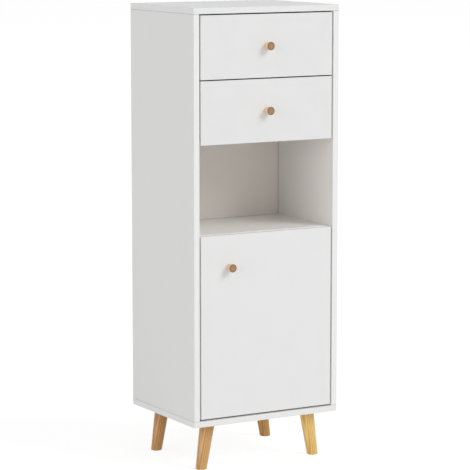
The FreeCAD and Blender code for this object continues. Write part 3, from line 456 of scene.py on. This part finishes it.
def eased_board(node, material):
    """A drawer board with its bores and grooves, its outer arrises rounded as trimmed edge banding is."""
    rim = 1.2 * MM
    arris_round = 0.6 * MM
    low, high = (Vector(corner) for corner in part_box(node))
    board = copy_of(nodes[node], node + "_eased")
    board.data.name = board.name
    board.parent = None
    settle(board)
    edit(board)
    bpy.ops.mesh.select_mode(type="EDGE")
    bpy.ops.mesh.select_all(action="SELECT")
    bpy.ops.mesh.remove_doubles(threshold=TOUCHING)
    # a clean rim of faces along each arris, kept apart by seams while the loose triangles are dissolved
    for axis in range(3):
        for level in (low[axis] + rim, high[axis] - rim):
            bpy.ops.mesh.select_all(action="SELECT")
            bpy.ops.mesh.bisect(
                plane_co=(level, level, level), plane_no=[float(axis == way) for way in range(3)],
                threshold=TOUCHING)
            bpy.ops.mesh.mark_seam()
    bpy.ops.mesh.select_all(action="SELECT")
    bpy.ops.mesh.dissolve_limited(angle_limit=math.radians(0.5), delimit={"SEAM"})

    def on_arris(edge):
        sides = [axis for axis in range(3) for level in (low[axis], high[axis])
                 if all(abs(vertex.co[axis] - level) < LEVEL for vertex in edge.verts)]
        return len(sides) == 2

    pick(board, "edges", on_arris)
    bpy.ops.mesh.bevel(offset=arris_round, segments=3, affect="EDGES")
    bpy.ops.mesh.select_all(action="SELECT")
    bpy.ops.mesh.mark_seam(clear=True)
    done()
    bpy.ops.object.shade_smooth_by_angle(angle=math.radians(35))
    bpy.ops.object.modifier_add(type="WEIGHTED_NORMAL")
    flat_faces = board.modifiers[-1]
    flat_faces.weight = 100
    flat_faces.keep_sharp = True
    bpy.ops.object.modifier_apply(modifier=flat_faces.name)
    wear(board, material)
    stand_for(board, node)


# the middles of a leg's top and sole, to the side of the carcass's middle and to its front or rear
leg_top_reach = (140 * MM, 115 * MM)
leg_foot_reach = (158 * MM, 115.5 * MM)
leg_top_radius = 18 * MM
leg_foot_radius = 13.5 * MM
leg_sole_round = 1.5 * MM
leg_top_round = 0.4 * MM


def turned_leg(node, dark_grain, light_grain, painted_top_shade):
    """Cone drawn past the panel and the floor, cut level at both, with its sole softened."""
    low, high = (Vector(corner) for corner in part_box(node))
    middle = (low + high) / 2
    side = math.copysign(1, middle.x - carcass_middle.x)
    end = math.copysign(1, middle.y - carcass_middle.y)
    top = Vector((side * leg_top_reach[0], carcass_middle.y + end * leg_top_reach[1], high.z))
    foot = Vector((side * leg_foot_reach[0], carcass_middle.y + end * leg_foot_reach[1], 0))
    axis = top - foot
    # the cone goes on past each end by the length of the leg
    taper = leg_top_radius - leg_foot_radius
    bpy.ops.object.select_all(action="DESELECT")
    bpy.ops.mesh.primitive_cone_add(
        vertices=96, radius1=leg_foot_radius - taper, radius2=leg_top_radius + taper, depth=3 * axis.length,
        location=(top + foot) / 2, rotation=axis.to_track_quat("Z", "Y").to_euler())
    leg = new_piece(node + "_turned")
    settle(leg)
    edit(leg)
    for height, keep_above in ((foot.z, True), (top.z, False)):
        bpy.ops.mesh.select_all(action="SELECT")
        bpy.ops.mesh.bisect(
            plane_co=(0, 0, height), plane_no=(0, 0, 1), use_fill=True, clear_inner=keep_above,
            clear_outer=not keep_above)
    pick(leg, "edges", lambda edge: all(vertex.co.z < foot.z + LEVEL for vertex in edge.verts))
    bpy.ops.mesh.bevel(offset=leg_sole_round, segments=4, affect="EDGES")
    pick(leg, "edges", lambda edge: all(vertex.co.z > top.z - LEVEL for vertex in edge.verts))
    bpy.ops.mesh.bevel(offset=leg_top_round, segments=2, affect="EDGES")
    done()
    bpy.ops.object.shade_smooth_by_angle(angle=math.radians(35))
    lean = math.atan2(axis.x, axis.z)
    wear(leg, turned_leg_wood(node + "_hardwood", foot, lean, top.z, dark_grain, light_grain, painted_top_shade))
    stand_for(leg, node)


def turned_knob(node):
    """Flared cylinder with a rounded rim and a shallow dish turned into its face."""
    low, high = (Vector(corner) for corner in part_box(node))
    middle = (low + high) / 2
    end_radius = (high.x - low.x) / 2
    base_radius = 8.5 * MM
    lost_to_rim = 0.23 * MM
    rim_round = 1.2 * MM
    base_round = 0.3 * MM
    # how far each ring of the dish goes inwards and into the knob, in millimetres
    dish_steps = ((1.6, 0.2), (1.8, 0.18), (1.8, 0.12), (1.6, 0.07), (1.0, 0.02))
    bpy.ops.object.select_all(action="DESELECT")
    bpy.ops.mesh.primitive_cylinder_add(
        vertices=96, radius=base_radius, depth=high.y - low.y, location=middle,
        rotation=(math.pi / 2, 0, 0))
    knob = new_piece(node + "_turned")
    settle(knob)
    edit(knob)
    pick(knob, "faces", lambda face: face.normal.y < -0.9)
    # the face is drawn wider than the knob ends up, because rounding the rim takes a little off
    flare = (end_radius + lost_to_rim) / base_radius
    bpy.ops.transform.resize(value=(flare, 1, flare), center_override=(middle.x, low.y, middle.z))
    pick(knob, "edges", lambda edge: all(vertex.co.y < low.y + LEVEL for vertex in edge.verts))
    bpy.ops.mesh.bevel(offset=rim_round, segments=6, affect="EDGES")
    pick(knob, "edges", lambda edge: all(vertex.co.y > high.y - LEVEL for vertex in edge.verts))
    bpy.ops.mesh.bevel(offset=base_round, segments=2, affect="EDGES")
    pick(knob, "faces", lambda face: face.normal.y < -0.99 and face.calc_area() > base_radius ** 2)
    for step, drop in dish_steps:
        bpy.ops.mesh.inset(thickness=step * MM, depth=0)
        bpy.ops.transform.translate(value=(0, drop * MM, 0))
    done()
    bpy.ops.object.shade_smooth_by_angle(angle=math.radians(40))
    wear(knob, turned_knob_wood(node + "_hardwood", low, high))
    stand_for(knob, node)


def cross_head_screw(shank_radius, shank_length, head_radius, head_height):
    """One screw along +Z, its head's underside at the origin: crowned head, cross recess, pointed shank."""
    # the crown's height, the point's length and the share of the shank's width that is left at its tip
    crown = 0.6 * head_height
    point = 1.5 * shank_radius
    tip = 0.25
    # the recess keeps within the shank's width, so that it never cuts through the head
    recess_depth = min(1.2 * MM, 0.5 * head_height + 0.5 * MM)
    recess_size = (min(1.15 * head_radius, 1.8 * shank_radius), 0.28 * head_radius, 2 * recess_depth)
    bpy.ops.object.select_all(action="DESELECT")
    bpy.ops.mesh.primitive_cylinder_add(
        vertices=40, radius=head_radius, depth=head_height, location=(0, 0, head_height / 2))
    screw = new_piece("screw")
    settle(screw)
    edit(screw)
    pick(screw, "edges", lambda edge: all(vertex.co.z > head_height - LEVEL for vertex in edge.verts))
    bpy.ops.mesh.bevel(offset=crown, segments=4, affect="EDGES")
    pick(screw, "faces", lambda face: face.normal.z < -0.9)
    bpy.ops.mesh.inset(thickness=head_radius - shank_radius)
    bpy.ops.mesh.extrude_region_move(TRANSFORM_OT_translate={"value": (0, 0, point - shank_length)})
    bpy.ops.mesh.extrude_region_move(TRANSFORM_OT_translate={"value": (0, 0, -point)})
    bpy.ops.transform.resize(value=(tip, tip, 1), center_override=(0, 0, -shank_length))
    done()
    bpy.ops.object.select_all(action="DESELECT")
    bpy.ops.mesh.primitive_cube_add(size=1)
    cutter = new_piece("cutter")
    for turn in (0, math.pi / 2):
        cutter.scale = recess_size
        cutter.location = (0, 0, head_height)
        cutter.rotation_euler = (0, 0, turn)
        take(screw)
        bpy.ops.object.modifier_add(type="BOOLEAN")
        recess = screw.modifiers[-1]
        recess.object = cutter
        recess.operation = "DIFFERENCE"
        recess.solver = "EXACT"
        bpy.ops.object.modifier_apply(modifier=recess.name)
    bpy.data.objects.remove(cutter)
    take(screw)
    bpy.ops.object.shade_smooth_by_angle(angle=math.radians(35))
    return screw


def driven_screws(node, sizes, head_way, material):
    """Copies one screw to each solid of a node; head_way gives the way that its head looks."""
    shank_radius, head_radius, head_height = (size * MM for size in sizes)
    boxes = solids_of(node)
    length = max(boxes[0][1] - boxes[0][0])
    master = cross_head_screw(shank_radius, length - head_height, head_radius, head_height)
    copies = []
    for low, high in boxes:
        middle = (low + high) / 2
        way = Vector(head_way(middle))
        screw = copy_of(master, node + "_driven")
        screw.rotation_euler = way.to_track_quat("Z", "Y").to_euler()
        screw.location = middle + way * (length / 2 - head_height)
        settle(screw)
        copies.append(screw)
    bpy.data.objects.remove(master)
    bpy.ops.object.select_all(action="DESELECT")
    for screw in copies:
        screw.select_set(True)
    bpy.context.view_layer.objects.active = copies[0]
    if len(copies) > 1:
        bpy.ops.object.join()
    driven = new_piece(node + "_driven")
    wear(driven, material)
    stand_for(driven, node)


# The ways that screw heads look, each from the middle of its screw

def to_the_rear(middle):
    return 0, 1, 0


def downwards(middle):
    return 0, 0, -1


def outwards(middle):
    return math.copysign(1, middle.x), 0, 0


def inwards(middle):
    return -math.copysign(1, middle.x), 0, 0


# Finishes of the frame's own nodes

nickel = plated_steel("nickel_plated_steel", "#D6D2CB", "#C9C5BE", grit=0.35, polish=0.24)
zinc = plated_steel("zinc_plated_steel", "#CDD0D4", "#BCBFC4", grit=0.5, polish=0.28)
finishes = {
    "back_board": lacquered_fibre_board("lacquered_fibre_board"),
    "dowel_beech": fluted_beech("beech_dowel_rod"),
    "runner_steel": epoxy_coated_steel("epoxy_coated_steel"),
    "roller_nylon": moulded_nylon("moulded_nylon"),
    "hinge_steel": nickel,
    "zinc_hardware": zinc,
    "bumper_rubber": cast_polyurethane("cast_polyurethane"),
}
# whites set board by board to the photograph's tones, which paints light and shade into them, the top panel
# darker and the door lighter: both ends of the cloud outside, and the edge band
common_white = ("#EDEDEB", "#EEEEEC", "#F4F4F3")
lit_and_shaded_whites = {
    "top_panel": ("#E7E7E7", "#E8E8E8", "#EFEFEF"),
    "bottom_panel": ("#EDEDEB", "#EEEEEC", "#F1F1F0"),
    "upper_drawer_front": ("#EBEBEB", "#EDEDED", "#F3F3F3"),
    "lower_drawer_front": ("#EBEBEB", "#EDEDED", "#F3F3F3"),
    "door_panel": ("#EEEEEE", "#EFEFEF", "#F3F3F3"),
}
# both ends of the cloud inside, a cream of painted bounce light, and at the niche's back, darker as painted
# shade and with a rim of painted corner shade
painted_bounce_cream = ("#F1EEEA", "#F2EFEC")
painted_shade_cream = ("#EBE6DF", "#ECE7E1")
painted_corner_shade_rim = 3 * MM
for part in frame["record"]["subparts"]:
    node, slot = part["node"], part["material_slot"]
    white = lit_and_shaded_whites.get(node, common_white)
    if node == "niche_back_panel":
        wear(nodes[node], melamine_board(node, white, painted_shade_cream, corner_shade_width=painted_corner_shade_rim))
    elif node.endswith(("_drawer_left_side", "_drawer_right_side", "_drawer_back")):
        eased_board(node, melamine_board(node, white, painted_bounce_cream))
    elif slot == "white_melamine":
        wear(nodes[node], melamine_board(node, white, painted_bounce_cream))
    elif slot in finishes:
        wear(nodes[node], finishes[slot])

# each leg in the photograph's tones, with painted light and shade: its dark and light grain, lighter on the
# front right leg that faces the light and darker on the rear legs in shade, and how much painted shade
# darkens it upwards
turned_leg("front_left_leg", "#B98242", "#DEB370", 0.2)
turned_leg("front_right_leg", "#DAA44D", "#FCD887", 0.0)
turned_leg("rear_left_leg", "#B0783C", "#D8A25C", 0.5)
turned_leg("rear_right_leg", "#AA7631", "#C99D49", 0.0)

# shank radius, head radius and head height of each kind of screw, in millimetres
board_screw = (2.0, 3.5, 2.0)
runner_screw = (1.6, 3.0, 0.6)
cup_screw = (1.8, 3.5, 1.2)
arm_screw = (2.5, 3.5, 1.5)
plate_screw = (2.5, 3.5, 2.0)
for front in ("upper_drawer", "lower_drawer", "door"):
    turned_knob(front + "_knob")
    driven_screws(front + "_knob_screw", board_screw, to_the_rear, zinc)
for drawer in ("upper_drawer", "lower_drawer"):
    driven_screws(drawer + "_back_screws", board_screw, outwards, zinc)
    driven_screws(drawer + "_runner_screws", runner_screw, downwards, zinc)
driven_screws("cabinet_runner_screws", runner_screw, inwards, zinc)
driven_screws("hinge_cup_screws", cup_screw, to_the_rear, zinc)
driven_screws("hinge_arm_screws", arm_screw, inwards, zinc)
driven_screws("hinge_plate_screws", plate_screw, inwards, zinc)

# Floor, light and camera

floor_size = 60.0
floor_glow = 0.82
sky_light = 0.483
sky_seen = 1.0
lamps_look_at = Vector((0, 0, 0.6))

# the floor lights the cabinet as white paint does; the camera sees it paler, with a faint shadow
bpy.ops.object.select_all(action="DESELECT")
bpy.ops.mesh.primitive_plane_add(size=floor_size)
floor = new_piece("floor")
material, tree = new_material("pale_floor")
paint = add(tree, "BsdfDiffuse", {}, {"Color": colour("#F4F4F4")})
dim = add(tree, "BsdfDiffuse", {}, {"Color": colour("#9A9A9A")})
glow = add(tree, "Emission", {}, {"Color": colour("#FFFFFF"), "Strength": floor_glow})
bright = add(tree, "AddShader", {}, {0: dim.outputs[0], 1: glow.outputs[0]})
seen = add(tree, "MixShader", {}, {0: seen_directly(tree), 1: paint.outputs[0], 2: bright.outputs[0]})
add(tree, "OutputMaterial", {}, {0: seen.outputs[0]})
wear(floor, material)

world = bpy.data.worlds.new("studio")
bpy.context.scene.world = world
world.use_nodes = True
tree = world.node_tree
tree.nodes.clear()
strength = add(tree, "MapRange", {}, {0: seen_directly(tree), 3: sky_light, 4: sky_seen})
sky = add(tree, "Background", {}, {"Color": colour("#FFFFFF"), "Strength": strength.outputs[0]})
add(tree, "OutputWorld", {}, {0: sky.outputs[0]})


def softbox(name, way, distance, size, watts):
    """A square lamp of a size and at a distance in metres, that looks at the cabinet from the given way."""
    lamp = bpy.data.lights.new(name, "AREA")
    lamp.size = size
    lamp.energy = watts
    softbox_object = bpy.data.objects.new(name, lamp)
    way = Vector(way).normalized()
    softbox_object.location = lamps_look_at + way * distance
    softbox_object.rotation_euler = way.to_track_quat("Z", "Y").to_euler()
    bpy.context.collection.objects.link(softbox_object)


softbox("key", way=(0.495, -0.654, 0.571), distance=24.0, size=11.6, watts=2475)
softbox("fill", way=(-0.94, -0.29, 0.06), distance=24.0, size=12.0, watts=1645)

# a long lens from the left, a little above the top, aimed along the photograph's fitted view
lens = bpy.data.cameras.new("camera")
lens.lens = 177.2
lens.sensor_width = 36
camera = bpy.data.objects.new("camera", lens)
camera.location = (-2.79792, -4.88522, 1.35364)
camera.rotation_euler = (math.radians(81.845), 0, math.radians(-29.78))
bpy.context.collection.objects.link(camera)
bpy.context.scene.camera = camera
bpy.context.scene.view_settings.view_transform = "Standard"
